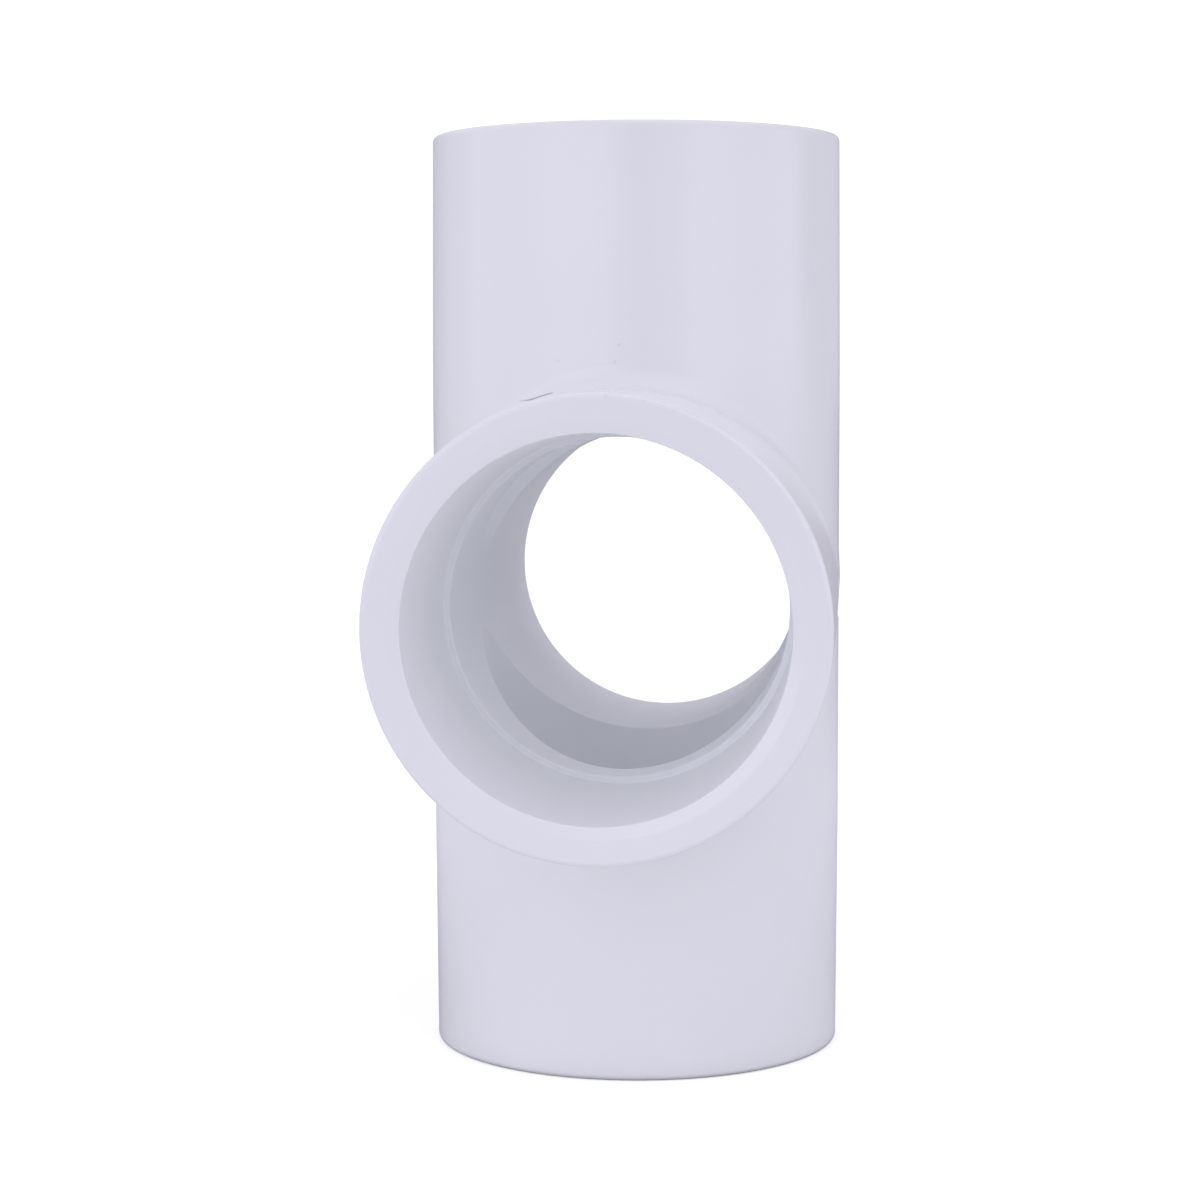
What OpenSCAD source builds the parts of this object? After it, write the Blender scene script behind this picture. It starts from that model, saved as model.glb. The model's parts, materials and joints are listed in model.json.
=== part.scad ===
// Four-way pipe cross for solvent-welded pressure pipe, nominal size 1 inch.
// One moulded piece: a straight run along Z and an equal branch along Y, with a
// tapered socket in each of the four ends, a stop shoulder at the bottom of each
// socket, and two waterways that cross at the middle.
// The origin is where the two axes cross. The part stands on the lower end of the run.
// Units are millimetres.

/* [Hubs] */
// Outside diameter of the run and of the branch, near the middle
hub_od = 40.9; // [39.8:0.1:44]
// Outside diameter at the four ends, a little less for the draft of the mould
hub_end_od = 40.6; // [39.4:0.1:40.9]
// Length from end to end, the same along the run and along the branch
overall_len = 90.8; // [88:0.2:110]
// Radius of the rounded outer edge at each end
edge_r = 0.5; // [0.3:0.1:1.2]
// Radius of the fillet where the branch leaves the run
blend_r = 2.2; // [1.2:0.1:3]

/* [Gate mark] */
// Height of the flat spot on the +X side, where the sprue was trimmed off
gate_h = 3.9; // [2:0.1:6]
// Depth of the flat spot below the round of the hub
gate_depth = 0.14; // [0.08:0.01:0.25]
// Height of the flat spot's middle above the crossing of the axes
gate_z = -0.6; // [-2:0.1:2]

/* [Sockets] */
// Diameter of a socket at its mouth
entry_d = 33.66; // [33.5:0.01:33.8]
// Diameter of a socket at its bottom
seat_d = 33.27; // [33.14:0.01:33.4]
// Depth of a socket, from the mouth to the stop shoulder
socket_depth = 24.5; // [22.3:0.1:26]
// Length of the parallel seat at the bottom of a socket
seat_len = 8.2; // [5:0.1:14]
// Width of the shallow bevel round the mouth, measured across the end face
bevel_w = 1.15; // [0.6:0.05:1.4]
// Depth of that bevel
bevel_h = 0.3; // [0.15:0.05:0.4]

/* [Waterways] */
// Diameter of the waterway through the branch
branch_bore_d = 32; // [31.4:0.1:32.4]
// Diameter of the waterway through the run
run_bore_d = 31.1; // [30:0.1:31.2]
// Radius of the rounded inner edge of the stop shoulder
stop_r = 0.2; // [0.1:0.05:0.3]

/* [Hidden] */
$fn = 96;
half = overall_len / 2;
hub_r = hub_od / 2;
end_r = hub_end_od / 2;
entry_r = entry_d / 2;
seat_r = seat_d / 2;
stop_z = half - socket_depth;  // height of the stop shoulder above the middle
barrel = hub_r + blend_r + 0.5; // each hub is parallel to here, then has draft
sink = 0.04;                   // the fillet starts this far under the hub's surface
fil_c = hub_r + blend_r - sink; // distance of the fillet's centre line from either axis
fil_n = 45;                    // steps along a fillet
fil_k = 6;                     // steps across a fillet
fil_t0 = 8;                    // the fillets fade out this near the side of the hubs

// Half of a hub's outline: radius along X, height along Y
module hub_outline() {
    polygon([
        [0, -half], [end_r - edge_r, -half], [end_r, -half + edge_r],
        [hub_r, -barrel], [hub_r, barrel],
        [end_r, half - edge_r], [end_r - edge_r, half], [0, half]
    ]);
    for (s = [-1, 1])
        translate([end_r - edge_r, s * (half - edge_r)]) circle(r = edge_r, $fn = 48);
}

// The outside of one hub, along Z
module hub() {
    rotate_extrude() hub_outline();
}

// One point of a fillet's cross section. The fillet is the path of a ball that
// touches both hubs: t is the angle round the hub, and j is the step across.
function fil_mid(t) = fil_c * [cos(t), sin(t), sin(t)];
function fil_u(t) = [-cos(t), -sin(t), 0];
function fil_v(t) = [-cos(t), 0, -sin(t)];
function fil_open(t) = acos(cos(t) * cos(t));
function fil_dir(t, f) =
    (sin((1 - f) * fil_open(t)) * fil_u(t) + sin(f * fil_open(t)) * fil_v(t)) / sin(fil_open(t));
function fil_pt(t, j) =
    j > fil_k ? fil_mid(t) + 4 * (fil_u(t) + fil_v(t))
              : fil_mid(t) + blend_r * fil_dir(t, j / fil_k);

// The fillet in one of the four corners between the run and the branch
module fillet() {
    m = fil_k + 2;
    step = (180 - 2 * fil_t0) / fil_n;
    pts = [for (i = [0:fil_n]) for (j = [0:m - 1]) fil_pt(fil_t0 + i * step, j)];
    sides = [for (i = [0:fil_n - 1]) for (j = [0:m - 1])
        let (a = i * m + j, b = i * m + (j + 1) % m, c = a + m, d = b + m)
        each [[a, b, d], [a, d, c]]];
    ends = [[for (j = [m - 1:-1:0]) j], [for (j = [0:m - 1]) fil_n * m + j]];
    polyhedron(points = pts, faces = concat(sides, ends), convexity = 4);
}

// Takes a sharp ring edge at radius r and height 0 down to a round one.
// The hole is below radius r, and the face looks up.
module ring_edge(r, round_r) {
    rotate_extrude() difference() {
        translate([r - 0.1, -round_r]) square([round_r + 0.1, round_r + 0.1]);
        translate([r + round_r, -round_r]) circle(r = round_r, $fn = 48);
    }
}

// What is cut away for one socket, opening upwards
module socket() {
    translate([0, 0, stop_z]) cylinder(r = seat_r, h = seat_len);
    translate([0, 0, stop_z + seat_len])
        cylinder(r1 = seat_r, r2 = entry_r, h = socket_depth - seat_len);
    translate([0, 0, half - bevel_h])
        cylinder(r1 = entry_r, r2 = entry_r + bevel_w * (1 + 1 / bevel_h), h = bevel_h + 1);
}

// What is cut away along one axis: two sockets and the waterway between them
module passage(bore_d) {
    cylinder(d = bore_d, h = 2 * stop_z + 2, center = true);
    for (s = [0, 1]) mirror([0, 0, s]) {
        socket();
        translate([0, 0, stop_z]) ring_edge(bore_d / 2, stop_r);
    }
}

// Pares the round of the hub down to a small flat spot
module gate_mark() {
    translate([hub_r - gate_depth, -4, gate_z - gate_h / 2]) cube([1, 8, gate_h]);
}

module cross_body() {
    color([0.9, 0.9, 0.93]) difference() {
        union() {
            hub();
            rotate([90, 0, 0]) hub();
            for (a = [0, 1], b = [0, 1])
                mirror([0, a, 0]) mirror([0, 0, b]) fillet();
        }
        passage(run_bore_d);
        rotate([90, 0, 0]) passage(branch_bore_d);
        gate_mark();
    }
}

cross_body();
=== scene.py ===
import json
import math

import bpy
import numpy as np
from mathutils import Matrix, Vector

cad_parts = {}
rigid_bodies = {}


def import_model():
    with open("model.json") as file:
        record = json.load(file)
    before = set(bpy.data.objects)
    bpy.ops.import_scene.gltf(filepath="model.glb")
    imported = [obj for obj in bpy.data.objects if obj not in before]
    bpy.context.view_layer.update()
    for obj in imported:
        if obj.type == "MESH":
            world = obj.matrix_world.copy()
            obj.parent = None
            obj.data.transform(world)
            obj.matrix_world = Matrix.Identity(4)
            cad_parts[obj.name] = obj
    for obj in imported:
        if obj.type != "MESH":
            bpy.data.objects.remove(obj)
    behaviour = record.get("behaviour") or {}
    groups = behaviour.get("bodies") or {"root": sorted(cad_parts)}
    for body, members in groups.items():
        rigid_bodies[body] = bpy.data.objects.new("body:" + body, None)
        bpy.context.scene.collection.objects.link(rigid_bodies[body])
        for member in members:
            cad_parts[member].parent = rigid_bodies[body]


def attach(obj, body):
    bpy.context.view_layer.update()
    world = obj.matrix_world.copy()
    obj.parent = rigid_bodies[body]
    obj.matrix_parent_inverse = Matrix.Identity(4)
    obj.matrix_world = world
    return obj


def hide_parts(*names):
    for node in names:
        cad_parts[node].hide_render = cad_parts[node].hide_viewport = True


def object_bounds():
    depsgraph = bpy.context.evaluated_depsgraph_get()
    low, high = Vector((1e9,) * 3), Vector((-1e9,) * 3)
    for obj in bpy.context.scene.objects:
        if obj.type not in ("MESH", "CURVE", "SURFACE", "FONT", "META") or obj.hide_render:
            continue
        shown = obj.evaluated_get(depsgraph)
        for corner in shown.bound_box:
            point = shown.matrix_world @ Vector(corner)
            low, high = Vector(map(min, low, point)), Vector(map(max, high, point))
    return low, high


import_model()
cad_lo, cad_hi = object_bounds()

# ---------------------------------------------------------------------------
# Sizes, in millimetres, as in the construction
# ---------------------------------------------------------------------------
R = 20.45          # hub radius near the middle
R_END = 20.3       # hub radius at the ends
HALF = 45.4        # middle to mouth
EDGE = 0.5         # outer edge rounding
BLEND = 2.2        # fillet between run and branch
ENTRY = 16.83      # socket radius at its mouth
SEAT = 16.635      # socket radius at its bottom
DEPTH = 24.5       # socket depth
SEAT_LEN = 8.2     # parallel length at the bottom of a socket
BEVEL_W = 1.15     # width of the shallow bevel round the mouth
BEVEL_H = 0.3      # depth of that bevel
LIP = 0.13         # rounding of the mouth's inner edge
BRANCH = 16.0      # branch waterway radius
RUN = 15.55        # run waterway radius
STOP_ROUND = 0.2   # rounding of the stop shoulder's inner edge
CORNER = 0.12       # rounding in the corner between seat and shoulder
SADDLE = 0.2       # rounding of the edge where the waterways cross
STOP = HALF - DEPTH
BARREL = R + BLEND + 0.5


# ---------------------------------------------------------------------------
# A small kit for structured surface patches that are welded at the end
# ---------------------------------------------------------------------------
class Shell:
    def __init__(self):
        self.v, self.f, self.zone, self.n = [], [], [], 0

    def grid(self, p, zone):
        m, n = p.shape[:2]
        i, j = np.meshgrid(np.arange(m - 1), np.arange(n - 1), indexing="ij")
        a = self.n + i * n + j
        self.f.append(np.stack([a, a + 1, a + n + 1, a + n], -1).reshape(-1, 4))
        self._add(p.reshape(-1, 3), zone)

    def zipper(self, ring_a, ring_b, ang_a, ang_b, zone):
        """Triangles between two rings of points that go round once, by angle."""
        na, nb = len(ring_a), len(ring_b)
        tri, i, j = [], 0, 0
        while i < na or j < nb:
            step_a = i < na and (j >= nb or ang_a[i] <= ang_b[j])
            ia, jb = self.n + i % na, self.n + na + j % nb
            if step_a:
                tri.append([ia, self.n + (i + 1) % na, jb, jb])
                i += 1
            else:
                tri.append([ia, self.n + na + (j + 1) % nb, jb, jb])
                j += 1
        self.f.append(np.array(tri))
        self._add(np.vstack([ring_a, ring_b]), zone)

    def _add(self, pts, zone):
        self.v.append(pts)
        self.zone.append(np.full(len(pts), zone))
        self.n += len(pts)

    def welded(self):
        v = np.vstack(self.v)
        zone = np.concatenate(self.zone)
        key, first, inv = np.unique(
            np.round(v * 2000).astype(np.int64), axis=0, return_index=True, return_inverse=True
        )
        inv = inv.ravel()
        keep = np.zeros(len(key))
        np.maximum.at(keep, inv, zone)
        faces = []
        for q in inv[np.vstack(self.f)]:
            out = []
            for k in q:
                if k not in out:
                    out.append(int(k))
            if len(out) > 2:
                faces.append(out)
        return v[first], faces, keep


def arc(cx, cy, r, a0, a1, n):
    t = np.radians(np.linspace(a0, a1, n + 1))
    return [(cx + r * math.cos(x), cy + r * math.sin(x)) for x in t]


def line(p, q, n, ends=0.0):
    """n steps from p to q, with an extra ring close to each end if ends is above 0."""
    t = list(np.linspace(0, 1, n + 1))
    length = math.dist(p, q)
    if ends and length > 4 * ends:
        e = ends / length
        t = [0, e] + [x for x in t[1:-1] if 1.5 * e < x < 1 - 1.5 * e] + [1 - e, 1]
    return [(p[0] + (q[0] - p[0]) * x, p[1] + (q[1] - p[1]) * x) for x in t]


def corner(a, b, c, rad, n):
    """A small arc in the corner b of the path a, b, c, in n steps."""
    a, b, c = (np.array(q, float) for q in (a, b, c))
    u, v = (a - b) / np.linalg.norm(a - b), (c - b) / np.linalg.norm(c - b)
    half = math.acos(float(u @ v)) / 2
    mid = b + (u + v) / np.linalg.norm(u + v) * rad / math.sin(half)
    p, q = b + u * rad / math.tan(half) - mid, b + v * rad / math.tan(half) - mid
    w = math.pi - 2 * half
    return [
        tuple(float(x) for x in mid + (math.sin(w * (1 - k / n)) * p + math.sin(w * k / n) * q) / math.sin(w))
        for k in range(n + 1)
    ]


# Angles round a hub. They crowd at the sides, where the mould's parting line runs.
near = [0.0, 0.13, 0.26, 0.42, 0.65, 1.0, 1.5, 2.2, 3.1, 4.2, 5.6, 7.2, 9.0]
quarter = near + list(np.arange(12.0, 90.01, 3.0))
quarter = np.array(quarter)
half_turn = np.concatenate([quarter, 180 - quarter[-2::-1]])      # 0 to 180
full_turn = np.concatenate([half_turn, 180 + half_turn[1:]])      # 0 to 360
T = np.radians(full_turn)
TH = np.radians(half_turn)

# The outline of one hub from the end of its barrel out to its mouth and down
# to the stop shoulder: radius and distance from the middle.
outside = (
    line((R, BARREL), (R_END, HALF - EDGE), 14, 0.12)
    + arc(R_END - EDGE, HALF - EDGE, EDGE, 0, 90, 10)[1:]
    + [(R_END - EDGE - 0.08, HALF)]
)
MOUTH = ENTRY + BEVEL_W
wall_top = (ENTRY - (ENTRY - SEAT) * BEVEL_H / (DEPTH - SEAT_LEN), HALF - BEVEL_H)
wall_end = (SEAT, STOP + SEAT_LEN)
brow = corner((MOUTH + 1, HALF), (MOUTH, HALF), wall_top, 1.2, 4)
lip = corner((MOUTH, HALF), wall_top, wall_end, LIP, 6)
bevel = [(brow[0][0] + 0.08, HALF)] + brow + line(brow[-1], lip[0], 4)[1:-1] + lip
bevel_end = len(bevel)
inside = (
    bevel
    + line(lip[-1], wall_end, 12, 0.06)[1:]
    + line((SEAT, STOP + SEAT_LEN), (SEAT, STOP + CORNER), 6, 0.05)[1:]
    + arc(SEAT - CORNER, STOP + CORNER, CORNER, 0, -90, 5)[1:]
    + [(BRANCH, STOP)]  # replaced below for each waterway
)


def shoulder(bore):
    """The profile from the socket's bottom corner to the start of a waterway."""
    head = inside[:-1]
    return (
        head
        + line((SEAT - CORNER, STOP), (bore + STOP_ROUND, STOP), 2)[1:]
        + arc(bore + STOP_ROUND, STOP - STOP_ROUND, STOP_ROUND, 90, 180, 6)[1:]
        + [(bore, STOP - STOP_ROUND - 0.05)]
    )


def turn(profile, angles):
    """Points of a profile turned round an axis: rows follow the profile."""
    p = np.array(profile)
    return np.stack(
        [
            p[:, :1] * np.cos(angles),
            p[:, :1] * np.sin(angles),
            np.repeat(p[:, 1:], len(angles), 1),
        ],
        -1,
    )


def rows(start, end, n, ends=0.0):
    """A patch of n rows between two curves."""
    t = np.linspace(0, 1, n + 1)
    if ends:
        t = np.array([0, ends] + [x for x in t[1:-1] if 1.5 * ends < x < 1 - 1.5 * ends] + [1 - ends, 1])
    return start[None] + (end - start)[None] * t[:, None, None]


def slerp(d1, d2, n):
    w = np.arccos(np.clip((d1 * d2).sum(-1), -1, 1))[:, None]
    f = np.linspace(0, 1, n + 1)[:, None, None]
    small = w < 1e-4
    s = np.where(small, 1, np.sin(w))
    a = np.where(small, 1 - f, np.sin((1 - f) * w) / s)
    b = np.where(small, f, np.sin(f * w) / s)
    return a * d1 + b * d2


def run_side(p, s):
    return p * np.array([1, 1, s])


def branch_side(p, s):
    return np.stack([p[..., 0], s * p[..., 2], p[..., 1]], -1)


OUTER, END, SOCKET, WATER = 0.0, 1.0, 2.0, 3.0
shell = Shell()

# --- the saddle edge where the two waterways cross, as a ball's path -------
ca = (RUN + SADDLE) * np.cos(T)
sa = (RUN + SADDLE) * np.sin(T)
cz = np.sqrt((BRANCH + SADDLE) ** 2 - ca**2)
mid = np.stack([ca, sa, cz], -1)
to_run = np.stack([np.cos(T), np.sin(T), 0 * T], -1)
to_branch = np.stack([ca, 0 * T, cz], -1) / (BRANCH + SADDLE)
saddle = mid[None] - SADDLE * slerp(to_run, to_branch, 6)

# --- the outer fillet, also as a ball's path, over one half turn -----------
C = R + BLEND
fmid = C * np.stack([np.cos(TH), np.sin(TH), np.sin(TH)], -1)
fu = -np.stack([np.cos(TH), np.sin(TH), 0 * TH], -1)
fv = -np.stack([np.cos(TH), 0 * TH, np.sin(TH)], -1)
fillet = fmid[None] + BLEND * slerp(fu, fv, 16)

contact = np.stack([R * np.cos(T), R * np.sin(T), C * np.abs(np.sin(T))], -1)
barrel_end = np.stack([R * np.cos(T), R * np.sin(T), 0 * T + BARREL], -1)

for s in (1, -1):
    # run: outside, end face, socket and waterway share their columns
    shell.grid(run_side(rows(contact, barrel_end, 22, 0.012), s), OUTER)
    shell.grid(run_side(turn(outside, T), s), OUTER)
    shell.grid(run_side(turn(line(outside[-1], inside[0], 5), T), s), END)
    prof = shoulder(RUN)
    shell.grid(run_side(turn(prof[:bevel_end], T), s), END)
    shell.grid(run_side(turn(prof[bevel_end - 1:], T), s), SOCKET)
    shell.grid(run_side(rows(turn(prof[-1:], T)[0], saddle[0], 8, 0.02), s), WATER)
    shell.grid(run_side(saddle, s), WATER)
    for a in (1, -1):
        shell.grid(fillet * np.array([1, a, s]), OUTER)

# The branch's inner columns follow the crossing's edge, and a few more fill
# the two strips of wall between its upper and lower loops.
phi0 = math.degrees(math.atan2(cz[0], ca[0]))
side = np.linspace(-phi0, phi0, 11)[1:-1]
quarter_n = len(quarter)
loop = saddle[-1][: len(TH)]                      # theta 0 to 180, upper loop
loop_phi = np.degrees(np.arctan2(loop[:, 2], loop[:, 0]))
edge_up = np.stack([loop[:, 0], loop[:, 2], np.abs(loop[:, 1])], -1)
edge_dn = edge_up[::-1] * np.array([1, -1, 1])


def strip(center):
    a = np.radians(center + side)
    return np.stack([BRANCH * np.cos(a), BRANCH * np.sin(a), 0 * a], -1)


mid_edge = np.vstack([
    strip(0)[len(side) // 2:], edge_up, strip(180), edge_dn, strip(0)[: len(side) // 2 + 1]
])
mid_phi = np.concatenate([
    side[len(side) // 2:], loop_phi, 180 + side, 360 - loop_phi[::-1], 360 + side[: len(side) // 2 + 1]
])
P = np.radians(mid_phi)
prof = shoulder(BRANCH)
for s in (1, -1):
    shell.grid(branch_side(rows(contact, barrel_end, 22, 0.012), s), OUTER)
    shell.grid(branch_side(turn(outside, T), s), OUTER)
    ring_a = turn([(R_END - EDGE - 0.5, HALF)], T)[0]
    ring_b = turn([(MOUTH + 0.4, HALF)], P)[0]
    shell.grid(branch_side(turn([outside[-1], (R_END - EDGE - 0.5, HALF)], T), s), END)
    shell.grid(branch_side(turn([(MOUTH + 0.4, HALF), inside[0]], P), s), END)
    shell.zipper(
        branch_side(ring_a, s)[:-1], branch_side(ring_b, s)[:-1], full_turn[1:], mid_phi[1:], END
    )
    shell.grid(branch_side(turn(prof[:bevel_end], P), s), END)
    shell.grid(branch_side(turn(prof[bevel_end - 1:], P), s), SOCKET)
    shell.grid(branch_side(rows(turn(prof[-1:], P)[0], mid_edge, 18, 0.006), s), WATER)

verts, faces, zone = shell.welded()

# The parting line of the mould: a hair of a ridge down both sides of the run,
# with the wall beside it pared back by as much.
outer = np.hypot(verts[:, 0], verts[:, 1]) > 18
pared = 0.03 * (1 - np.exp(-((verts[:, 1] / 0.075) ** 2))) * np.exp(-((verts[:, 1] / 1.6) ** 2)) * outer
fade = np.clip((HALF - np.abs(verts[:, 2])) / 0.6, 0, 1)
verts[:, 0] -= np.sign(verts[:, 0]) * pared * fade

mesh = bpy.data.meshes.new("pipe_cross_body")
mesh.from_pydata((verts * 0.001).tolist(), [], faces)
mesh.update()
body = bpy.data.objects.new("pipe_cross_body", mesh)
bpy.context.scene.collection.objects.link(body)

import bmesh

bm = bmesh.new()
bm.from_mesh(mesh)
bmesh.ops.recalc_face_normals(bm, faces=bm.faces)
open_edges = sum(1 for e in bm.edges if not e.is_manifold)
volume = bm.calc_volume(signed=True) * 1e6
bm.to_mesh(mesh)
bm.free()
print("body: verts", len(mesh.vertices), "faces", len(mesh.polygons), "open edges", open_edges, "cm3", round(volume, 3))
layer = mesh.attributes.new("zone", "FLOAT", "POINT")
layer.data.foreach_set("value", zone.astype(np.float32))

# The flat spot on the +X side, where the sprue was trimmed off
bpy.ops.mesh.primitive_cube_add(size=1)
cutter = bpy.context.active_object
cutter.scale = (0.001, 0.008, 0.0039)
cutter.location = ((R - 0.14 + 0.5) * 0.001, 0, -0.0006)
bpy.context.view_layer.update()
cut = body.modifiers.new("gate", "BOOLEAN")
cut.operation = "DIFFERENCE"
cut.solver = "EXACT"
cut.object = cutter
dg = bpy.context.evaluated_depsgraph_get()
trimmed = bpy.data.meshes.new_from_object(body.evaluated_get(dg))
body.modifiers.clear()
body.data = trimmed
bpy.data.objects.remove(cutter)
body.data.shade_smooth()
body.data.set_sharp_from_angle(angle=math.radians(32))
print("trimmed: verts", len(trimmed.vertices), "faces", len(trimmed.polygons), "attributes", [a.name for a in trimmed.attributes])

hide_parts("cross_body")
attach(body, "root")


# ---------------------------------------------------------------------------
# White moulded PVC
# ---------------------------------------------------------------------------
def node(tree, kind, loc=(0, 0), **inputs):
    n = tree.nodes.new(kind)
    n.location = loc
    for k, v in inputs.items():
        n.inputs[k.replace("_", " ")].default_value = v
    return n


def vec(tree, op, a, b=None, scale=None):
    n = tree.nodes.new("ShaderNodeVectorMath")
    n.operation = op
    for k, v in enumerate((a, b)):
        if isinstance(v, tuple):
            n.inputs[k].default_value = v
        elif v is not None:
            tree.links.new(v, n.inputs[k])
    if scale is not None:
        if isinstance(scale, float):
            n.inputs["Scale"].default_value = scale
        else:
            tree.links.new(scale, n.inputs["Scale"])
    return n.outputs["Value" if op in ("LENGTH", "DISTANCE", "DOT_PRODUCT") else "Vector"]


def maths(tree, op, a, b=None, c=None, clamp=False):
    n = tree.nodes.new("ShaderNodeMath")
    n.operation, n.use_clamp = op, clamp
    for k, v in enumerate((a, b, c)):
        if isinstance(v, (int, float)):
            n.inputs[k].default_value = v
        elif v is not None:
            tree.links.new(v, n.inputs[k])
    return n.outputs[0]


def smooth(tree, value, lo, hi, to_lo=0.0, to_hi=1.0):
    n = tree.nodes.new("ShaderNodeMapRange")
    n.interpolation_type = "SMOOTHSTEP"
    for k, v in (("From Min", lo), ("From Max", hi), ("To Min", to_lo), ("To Max", to_hi)):
        n.inputs[k].default_value = v
    tree.links.new(value, n.inputs["Value"])
    return n.outputs["Result"]


def noise(tree, where, scale, detail=2.0, rough=0.5):
    n = tree.nodes.new("ShaderNodeTexNoise")
    n.inputs["Scale"].default_value = scale
    n.inputs["Detail"].default_value = detail
    n.inputs["Roughness"].default_value = rough
    tree.links.new(where, n.inputs["Vector"])
    return n.outputs["Fac"]


mat = bpy.data.materials.new("white_pvc")
mat.use_nodes = True
nt = mat.node_tree
nt.nodes.clear()
out = node(nt, "ShaderNodeOutputMaterial", (900, 0))
bsdf = node(nt, "ShaderNodeBsdfPrincipled", (600, 0))
nt.links.new(bsdf.outputs[0], out.inputs[0])
bsdf.inputs["IOR"].default_value = 1.53

# Position on the part in millimetres
obj = nt.nodes.new("ShaderNodeTexCoord")
mm = vec(nt, "SCALE", obj.outputs["Object"], scale=1000.0)
sep = nt.nodes.new("ShaderNodeSeparateXYZ")
nt.links.new(mm, sep.inputs[0])
zone_in = node(nt, "ShaderNodeAttribute", (0, -200))
zone_in.attribute_name = "zone"
inner = smooth(nt, zone_in.outputs["Fac"], 1.0, 2.0)

# Slow waves of the moulded wall, a faint orange peel, and the finer, matt
# texture that the cores leave in the sockets and waterways
wave = noise(nt, mm, 0.11, 1.0)
peel = noise(nt, mm, 1.1, 2.0)
grain = noise(nt, mm, 7.0, 2.0, 0.6)
patch = noise(nt, mm, 0.07, 3.0, 0.55)

# The flat spot of the gate: a dull, cut face with fine marks across it
gate = maths(
    nt, "MULTIPLY", smooth(nt, sep.outputs[0], R - 0.15, R - 0.143),
    smooth(nt, maths(nt, "ABSOLUTE", maths(nt, "ADD", sep.outputs[2], 0.6)), 1.97, 1.93),
)
gate = maths(nt, "MULTIPLY", gate, smooth(nt, sep.outputs[0], R - 0.128, R - 0.136))
gate = maths(nt, "MULTIPLY", gate, smooth(nt, maths(nt, "ABSOLUTE", sep.outputs[1]), 4.02, 3.96))
cut_marks = noise(nt, vec(nt, "MULTIPLY", mm, (0.4, 0.5, 9.0)), 1.0, 2.0, 0.6)


def stroke(points, facing, width):
    """A thin mark that runs along the points, on a surface that looks about towards facing, as a mask."""
    facing = tuple(float(x) for x in np.array(facing) / np.linalg.norm(facing))
    best = None
    for p, q in zip(points[:-1], points[1:]):
        p, q = np.array(p), np.array(q)
        rel = vec(nt, "SUBTRACT", mm, tuple(p))
        along = vec(nt, "DOT_PRODUCT", rel, tuple((q - p) / ((q - p) @ (q - p))))
        foot = vec(nt, "SCALE", tuple(q - p), scale=maths(nt, "ADD", along, 0.0, clamp=True))
        off = vec(nt, "CROSS_PRODUCT", vec(nt, "SUBTRACT", rel, foot), facing)
        gap = vec(nt, "LENGTH", off)
        best = gap if best is None else maths(nt, "MINIMUM", best, gap)
    centre = tuple(points[len(points) // 2])
    reach = math.dist(points[0], points[-1])
    fade = smooth(nt, vec(nt, "DISTANCE", mm, centre), reach * 0.72, reach * 0.2, 0.0, 1.0)
    return maths(nt, "MULTIPLY", smooth(nt, best, width, width * 0.25), fade)


# A scratch in the fillet above the branch, painted dark along its groove as painted shade, and a few specks of dust
# under the skin
scratch_and_painted_shade = stroke(
    [(-9.697, -18.079, 19.332), (-8.801, -18.718, 19.402), (-8.216, -19.09, 19.536), (-7.642, -19.374, 19.734),
     (-7.04, -19.675, 19.913), (-6.325, -19.979, 20.111)], (-0.52, -0.71, 0.47), 0.1
)
SPECKS = [
    (-0.01, -20.44, 24.557, 0.26), (-0.387, -20.44, 22.96, 0.28), (-5.809, -19.6, 23.064, 0.24),
    (0.992, -45.278, 19.966, 0.24), (2.037, -45.039, 20.106, 0.16), (4.197, -45.291, 19.524, 0.24),
    (-9.272, -45.282, 17.7, 0.16), (-10.713, -17.325, -33.704, 0.15),
]
specks = None
for x, y, z, r in SPECKS:
    dot = smooth(nt, vec(nt, "DISTANCE", mm, (x, y, z)), r, r * 0.3)
    specks = dot if specks is None else maths(nt, "MAXIMUM", specks, dot)

# Colour: nearly uniform, with a slow drift in the white, a slightly lighter and cooler inside that is painted to lift
# and tint the shade there, the dust specks and the painted shade of the scratch
drift = nt.nodes.new("ShaderNodeMix")
drift.data_type = "RGBA"
drift.inputs[6].default_value = (0.950, 0.9555, 0.9585, 1)
drift.inputs[7].default_value = (0.942, 0.949, 0.954, 1)
nt.links.new(smooth(nt, patch, 0.35, 0.65), drift.inputs[0])
# The inside's white is a touch lighter and cooler than the outside's, painted to lift and tint the shade in the sockets
# and waterways.
inside_painted_tint = nt.nodes.new("ShaderNodeMix")
inside_painted_tint.data_type = "RGBA"
inside_painted_tint.inputs[7].default_value = (0.948, 0.960, 0.961, 1)
nt.links.new(drift.outputs[2], inside_painted_tint.inputs[6])
nt.links.new(inner, inside_painted_tint.inputs[0])
# The scratch is painted dark along its groove, a painted shade; the dust specks are the part's own colour.
specks_and_painted_scratch_shade = nt.nodes.new("ShaderNodeMix")
specks_and_painted_scratch_shade.data_type = "RGBA"
specks_and_painted_scratch_shade.inputs[7].default_value = (0.34, 0.34, 0.37, 1)
nt.links.new(inside_painted_tint.outputs[2], specks_and_painted_scratch_shade.inputs[6])
nt.links.new(
    maths(nt, "MAXIMUM", maths(nt, "MULTIPLY", scratch_and_painted_shade, 0.9), maths(nt, "MULTIPLY", specks, 0.1)), specks_and_painted_scratch_shade.inputs[0]
)
nt.links.new(specks_and_painted_scratch_shade.outputs[2], bsdf.inputs["Base Color"])

# Roughness: polished outside, matt inside, dull where the gate was cut
rough = maths(nt, "ADD", maths(nt, "MULTIPLY", inner, 0.28), 0.17)
rough = maths(nt, "ADD", rough, maths(nt, "MULTIPLY", patch, 0.05))
rough = maths(nt, "ADD", rough, maths(nt, "MULTIPLY", maths(nt, "MAXIMUM", gate, scratch_and_painted_shade), 0.3))
nt.links.new(rough, bsdf.inputs["Roughness"])

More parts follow.
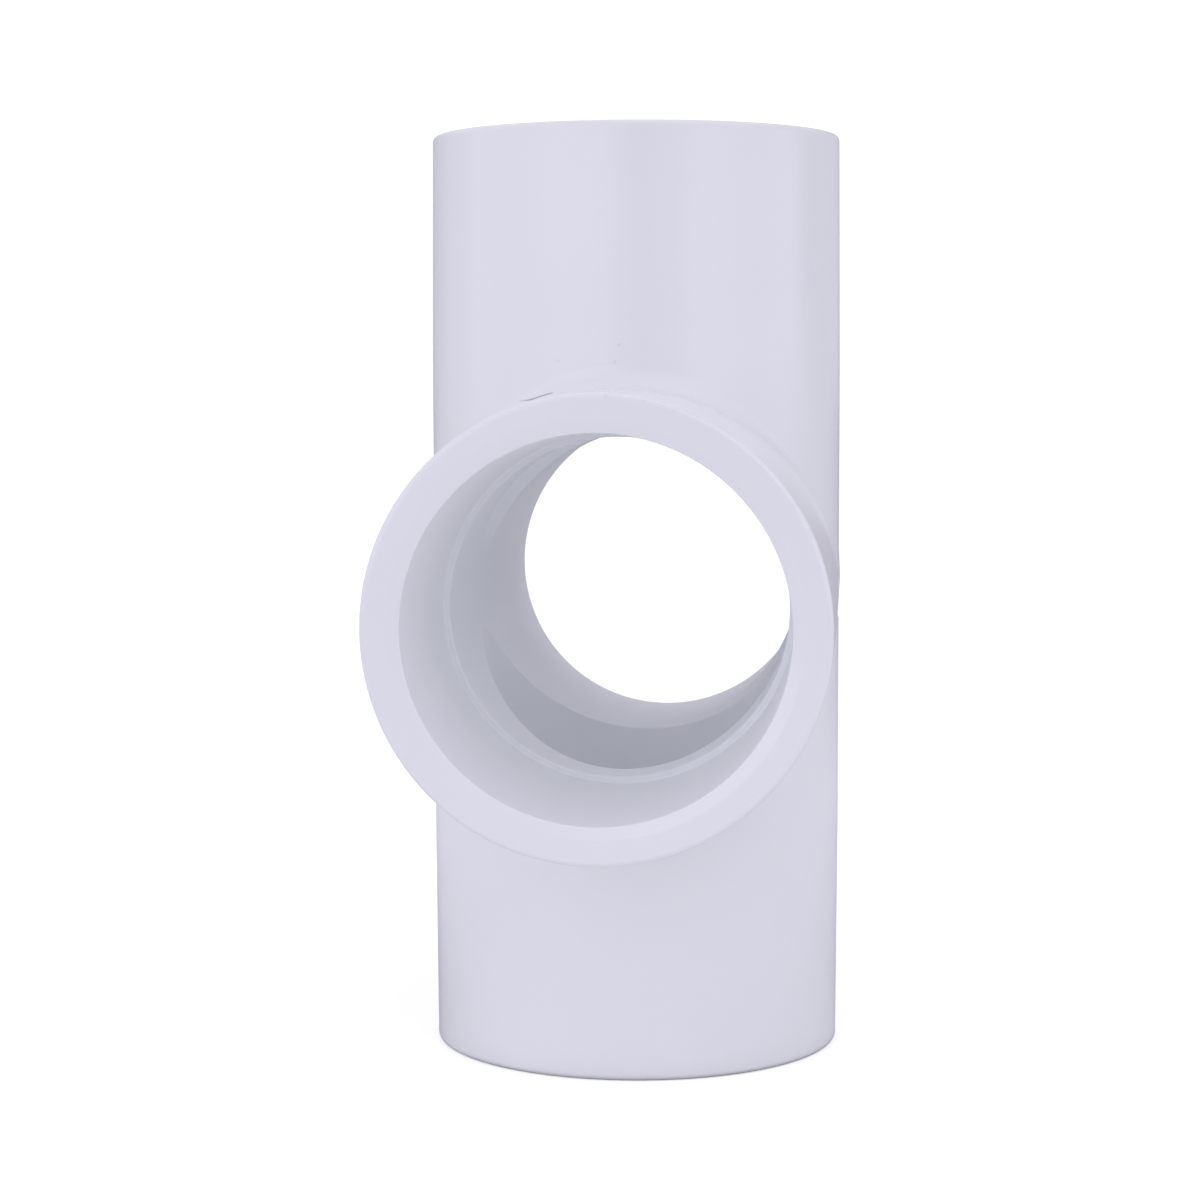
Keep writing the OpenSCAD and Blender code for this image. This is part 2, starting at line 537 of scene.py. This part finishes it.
# Bump, with heights in thousandths of a millimetre
height = maths(nt, "MULTIPLY", wave, 9.0)
height = maths(nt, "ADD", height, maths(nt, "MULTIPLY", peel, 0.55))
height = maths(nt, "ADD", height, maths(nt, "MULTIPLY", grain, maths(nt, "MULTIPLY_ADD", inner, 0.9, 0.07)))
height = maths(nt, "SUBTRACT", height, maths(nt, "MULTIPLY", scratch_and_painted_shade, 25.0))
height = maths(nt, "ADD", height, maths(nt, "MULTIPLY", maths(nt, "MULTIPLY", cut_marks, gate), 9.0))
bump = nt.nodes.new("ShaderNodeBump")
bump.inputs["Strength"].default_value = 1.0
bump.inputs["Distance"].default_value = 1e-6
nt.links.new(height, bump.inputs["Height"])
nt.links.new(bump.outputs[0], bsdf.inputs["Normal"])

body.data.materials.clear()
body.data.materials.append(mat)

# ---------------------------------------------------------------------------
# Floor, backdrop and light
# ---------------------------------------------------------------------------
def sheet(name, z, size, colour, glow=0.0):
    me = bpy.data.meshes.new(name)
    me.from_pydata([(-size, -size, z), (size, -size, z), (size, size, z), (-size, size, z)], [], [(0, 1, 2, 3)])
    ob = bpy.data.objects.new(name, me)
    bpy.context.scene.collection.objects.link(ob)
    m = bpy.data.materials.new(name)
    m.use_nodes = True
    p = m.node_tree.nodes["Principled BSDF"]
    p.inputs["Base Color"].default_value = (*colour, 1)
    p.inputs["Roughness"].default_value = 1.0
    p.inputs["Specular IOR Level"].default_value = 0.0
    if glow:
        p.inputs["Emission Color"].default_value = (1, 1, 1, 1)
        p.inputs["Emission Strength"].default_value = glow
    me.materials.append(m)
    return ob


def only_seen(ob):
    """For the camera alone, so that a white surround doesn't flood the part with light."""
    ob.visible_diffuse = ob.visible_glossy = ob.visible_transmission = False
    ob.visible_volume_scatter = ob.visible_shadow = False


z0 = cad_lo.z
floor = sheet("floor", z0, 6.0, (0.9, 0.9, 0.9), 0.42)
only_seen(floor)
bounce = sheet("floor_bounce", z0 - 2e-5, 6.0, (0.4, 0.4, 0.4), 0.07)
bounce.visible_camera = False

bpy.ops.mesh.primitive_uv_sphere_add(segments=48, ring_count=24, radius=5.0)
dome = bpy.context.active_object
dome.name = "backdrop"
dm = bpy.data.materials.new("backdrop")
dm.use_nodes = True
dm.node_tree.nodes.clear()
de = node(dm.node_tree, "ShaderNodeEmission")
de.inputs["Strength"].default_value = 1.05
do = node(dm.node_tree, "ShaderNodeOutputMaterial", (200, 0))
dm.node_tree.links.new(de.outputs[0], do.inputs[0])
dome.data.materials.append(dm)
only_seen(dome)

# The studio round the part: brightness by compass direction (0 is towards -Y,
# 90 towards +X) at four heights above the horizon, and on the floor at three
# distances from the part.
SKY = [
    (4, [(-180, 0.44), (-145, 0.38), (-106, 0.60), (-97, 1.17), (-70, 1.04), (-40, 1.55), (-9, 1.40), (-2, 0.18),
         (14, 0.2), (18, 0.65), (22, 0.45), (29, 0.6), (36, 1.5), (70, 1.05), (103, 1.36), (112, 0.25),
         (150, 0.58)]),
    (22, [(-180, 0.56), (-130, 0.77), (-95, 1.00), (-60, 1.04), (-30, 1.48), (0, 0.58), (30, 0.83), (60, 0.82),
         (95, 0.72), (130, 0.33)]),
    (45, [(-180, 0.66), (-120, 0.86), (-70, 0.53), (-25, 0.71), (25, 0.76), (70, 1.01), (120, 0.84)]),
    (75, [(-180, 0.99), (-60, 0.53), (60, 0.87)]),
]
FLOOR = [
    (0.06, [(-180, 0.00), (-90, 0.07), (-30, 0.35), (30, 0.29), (90, 0.25)]),
    (0.18, [(-180, 0.22), (-120, 0.51), (-60, 0.43), (-20, 0.35), (20, 0.49), (60, 0.52), (120, 0.52)]),
    (0.5, [(-180, 0.02), (-100, 0.07), (-50, 0.00), (-15, 0.00), (15, 0.06), (50, 0.00), (100, 0.06)]),
]
TINT = (0.984, 0.965, 1.105, 1)

world = bpy.data.worlds.new("studio")
bpy.context.scene.world = world
world.use_nodes = True
wt = world.node_tree
wt.nodes.clear()


def ramp(tree, stops, factor, name):
    """A closed ring of brightness values round the compass."""
    n = tree.nodes.new("ShaderNodeValToRGB")
    n.name = name
    for k, (a, v) in enumerate(stops + [(180, stops[0][1])]):
        if k < 2:
            e = n.color_ramp.elements[k]
            e.position = (a + 180) / 360
        else:
            e = n.color_ramp.elements.new((a + 180) / 360)
        e.color = (v, v, v, 1)
    tree.links.new(factor, n.inputs[0])
    return n.outputs[0]


def layered(tree, layers, level, x, y, name):
    """Blend the rings of layers by level; x and y give the compass direction."""
    azimuth = maths(tree, "ARCTAN2", x, maths(tree, "MULTIPLY", y, -1.0))
    round_share = maths(tree, "MULTIPLY_ADD", azimuth, 1 / (2 * math.pi), 0.5)
    total, share = None, 1.0
    for k, (lo, stops) in enumerate(layers):
        if k + 1 < len(layers):
            hi = layers[k + 1][0]
            rise = maths(tree, "DIVIDE", maths(tree, "SUBTRACT", level, float(lo)), float(hi - lo), clamp=True)
            here = maths(tree, "SUBTRACT", share, rise)
        else:
            rise, here = None, share
        part = maths(tree, "MULTIPLY", ramp(tree, stops, round_share, name + str(k)), here)
        total = part if total is None else maths(tree, "ADD", total, part)
        share = rise
    return total


coord = wt.nodes.new("ShaderNodeTexCoord")
xyz = wt.nodes.new("ShaderNodeSeparateXYZ")
wt.links.new(coord.outputs["Generated"], xyz.inputs[0])
height = maths(wt, "DEGREES", maths(wt, "ARCSINE", xyz.outputs[2]))
sky = layered(wt, SKY, height, xyz.outputs[0], xyz.outputs[1], "sky")

# The floor that lights the part from below
ft = bounce.data.materials[0].node_tree
where = ft.nodes.new("ShaderNodeNewGeometry")
fxyz = ft.nodes.new("ShaderNodeSeparateXYZ")
ft.links.new(where.outputs["Position"], fxyz.inputs[0])
away = ft.nodes.new("ShaderNodeVectorMath")
away.operation = "LENGTH"
ft.links.new(where.outputs["Position"], away.inputs[0])
logs = [(math.log(r), stops) for r, stops in FLOOR]
glow = layered(ft, logs, maths(ft, "LOGARITHM", away.outputs["Value"], math.e), fxyz.outputs[0], fxyz.outputs[1], "floor")
# Right outside the foot the floor gets no light
foot = vec(ft, "LENGTH", vec(ft, "MULTIPLY", where.outputs["Position"], (1.0, 1.0, 0.0)))
glow = maths(ft, "MULTIPLY", glow, maths(
    ft, "MAXIMUM", smooth(ft, foot, 0.0192, 0.0187), smooth(ft, foot, (R_END + 0.1) * 0.001, (R_END + 1.6) * 0.001),
))
fp = ft.nodes["Principled BSDF"]
fp.inputs["Emission Color"].default_value = TINT
ft.links.new(glow, fp.inputs["Emission Strength"])

bg = wt.nodes.new("ShaderNodeBackground")
bg.inputs[0].default_value = TINT
wt.links.new(sky, bg.inputs[1])
wo = wt.nodes.new("ShaderNodeOutputWorld")
wt.links.new(bg.outputs[0], wo.inputs[0])
world.cycles.sampling_method = "MANUAL"
world.cycles.sample_map_resolution = 512
bpy.context.scene.cycles.max_bounces = 16
bpy.context.scene.cycles.diffuse_bounces = 12

# ---------------------------------------------------------------------------
# Camera, at the photograph's viewing angle
# ---------------------------------------------------------------------------
M = 0.0409
az, el, dist, roll, px, py, focal = 0.0790, 0.0777, 6.7521, 0.0011, 0.0134, -0.0035, 2721.86


def turned(v, k, a):
    return v * math.cos(a) + np.cross(k, v) * math.sin(a) + k * (k @ v) * (1 - math.cos(a))


back = np.array([math.sin(az) * math.cos(el), -math.cos(az) * math.cos(el), math.sin(el)])
pos = back * dist * M
fwd = -back
right = np.cross(fwd, [0, 0, 1])
right /= np.linalg.norm(right)
up = np.cross(right, fwd)
fwd, right = turned(fwd, up, px), turned(right, up, px)
fwd, up = turned(fwd, right, py), turned(up, right, py)
right, up = turned(right, fwd, roll), turned(up, fwd, roll)
cam_data = bpy.data.cameras.new("camera")
cam = bpy.data.objects.new("camera", cam_data)
bpy.context.scene.collection.objects.link(cam)
from mathutils import Matrix

cam.matrix_world = Matrix([
    [right[0], up[0], -fwd[0], pos[0]],
    [right[1], up[1], -fwd[1], pos[1]],
    [right[2], up[2], -fwd[2], pos[2]],
    [0, 0, 0, 1],
])
cam_data.sensor_width = 36
cam_data.sensor_fit = "HORIZONTAL"
cam_data.lens = focal / 1200 * 36
cam_data.clip_start = 0.01
cam_data.clip_end = 50
bpy.context.scene.camera = cam
bpy.context.scene.view_settings.view_transform = "Standard"
bpy.context.scene.view_settings.look = "None"
